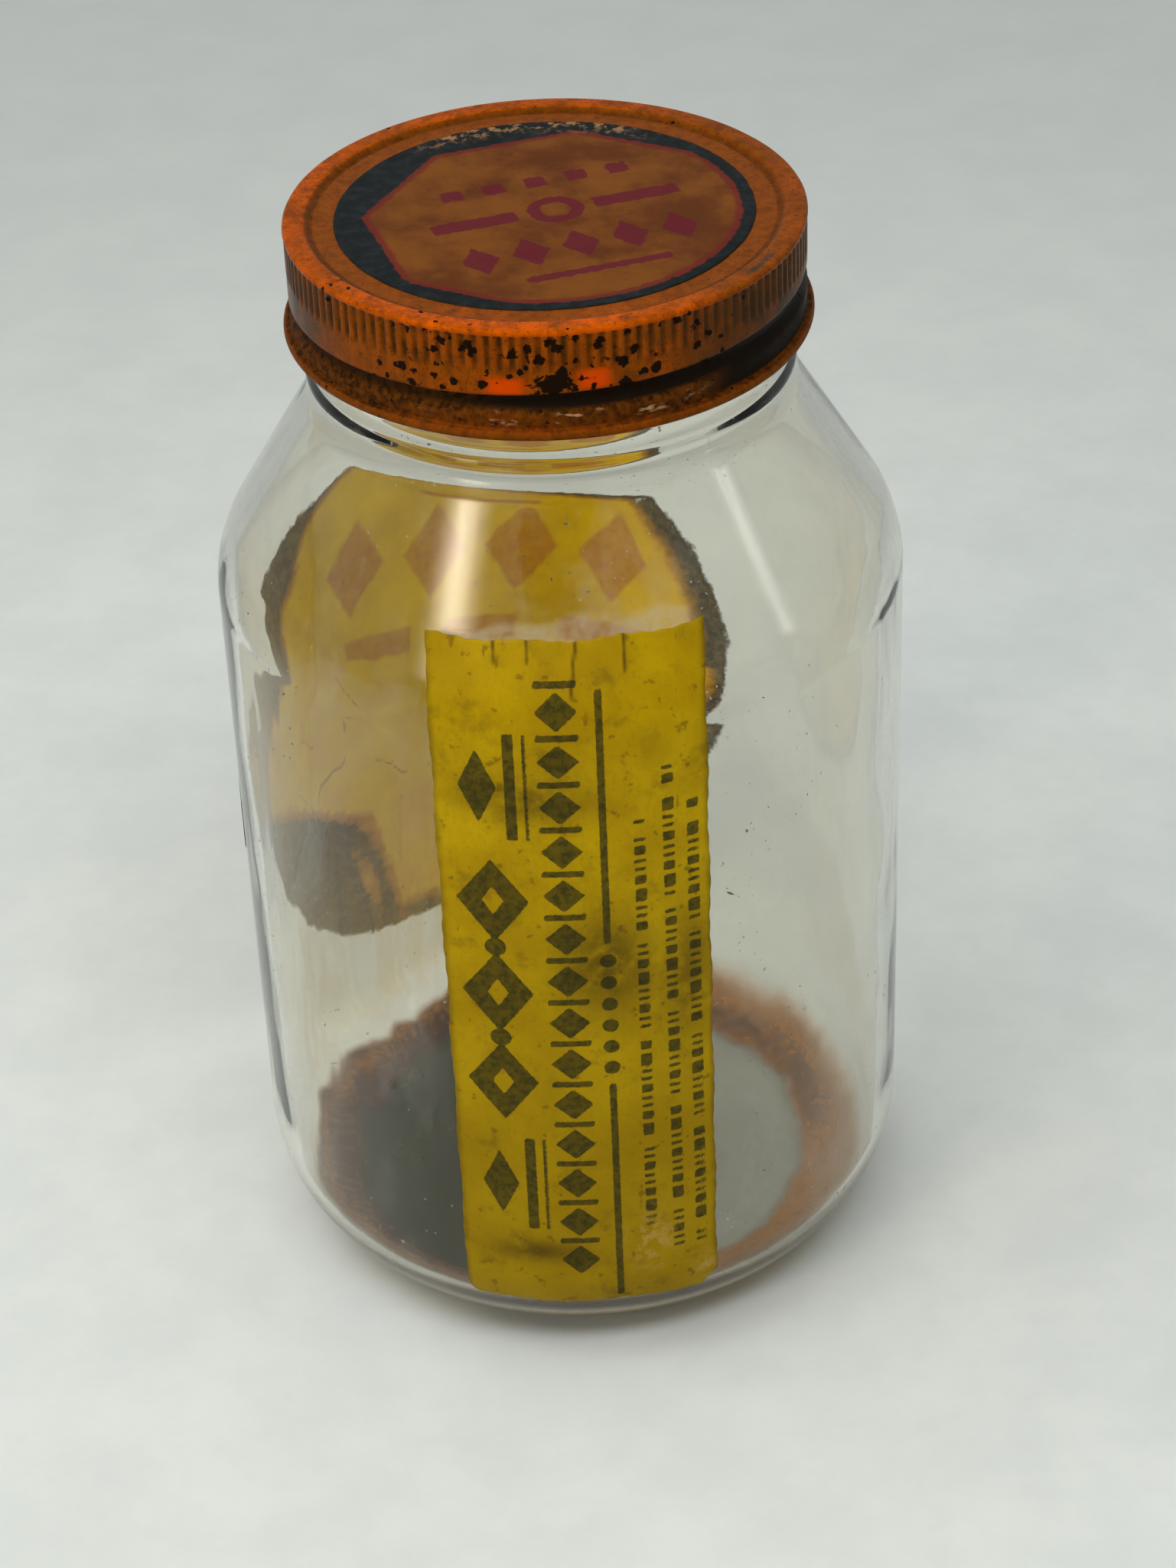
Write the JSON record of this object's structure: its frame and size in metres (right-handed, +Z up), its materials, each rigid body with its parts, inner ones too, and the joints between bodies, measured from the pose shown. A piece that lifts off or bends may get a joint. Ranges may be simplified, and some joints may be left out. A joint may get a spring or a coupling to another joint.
{
  "type": "glass oil jar",
  "caption": "Clear round glass jar with a sloping shoulder and a threaded neck, closed by a knurled tin screw lid with a liner, with a paper label and dried oil inside.",
  "frame": {"origin": "centre of the base, on the plane that the jar stands on", "axes": "+Z up along the jar's axis, -Y towards the front label, +X to the viewer's right when facing the label"},
  "size_m": [0.0986, 0.0988, 0.1686],
  "materials": {
    "glass": "clear gloss",
    "lid_enamel": "worn orange enamel on tinplate",
    "liner_board": "pressed pulp",
    "liner_paper": "waxed",
    "lid_transfer": "aged lacquer film",
    "label_paper": "stained, slightly glossy",
    "jar_transfer": "aged lacquer film",
    "dried_oil": "varnish-like"
  },
  "bodies": {
    "jar": {"glass_jar": "glass", "front_label": "label_paper", "back_decal": "jar_transfer", "oil_residue": "dried_oil"},
    "liner": {"lid_liner_board": "liner_board", "lid_liner_facing": "liner_paper"},
    "lid": {"screw_lid": "lid_enamel", "lid_decal": "lid_transfer"}
  },
  "joints": [
    {"name": "lid_lift", "type": "slide", "parent": "jar", "child": "liner", "axis": [0, 0, 1], "range_m": [0, 0.01906]},
    {"name": "lid_turn", "type": "hinge", "parent": "liner", "child": "lid", "pos_m": [0, 0, 0.16], "axis": [0, 0, 1], "range_deg": [0, 1080]}
  ],
  "couplings": [
    {"joint": "lid_lift", "follows": "lid_turn", "m_per_rad": 0.0010106}
  ]
}
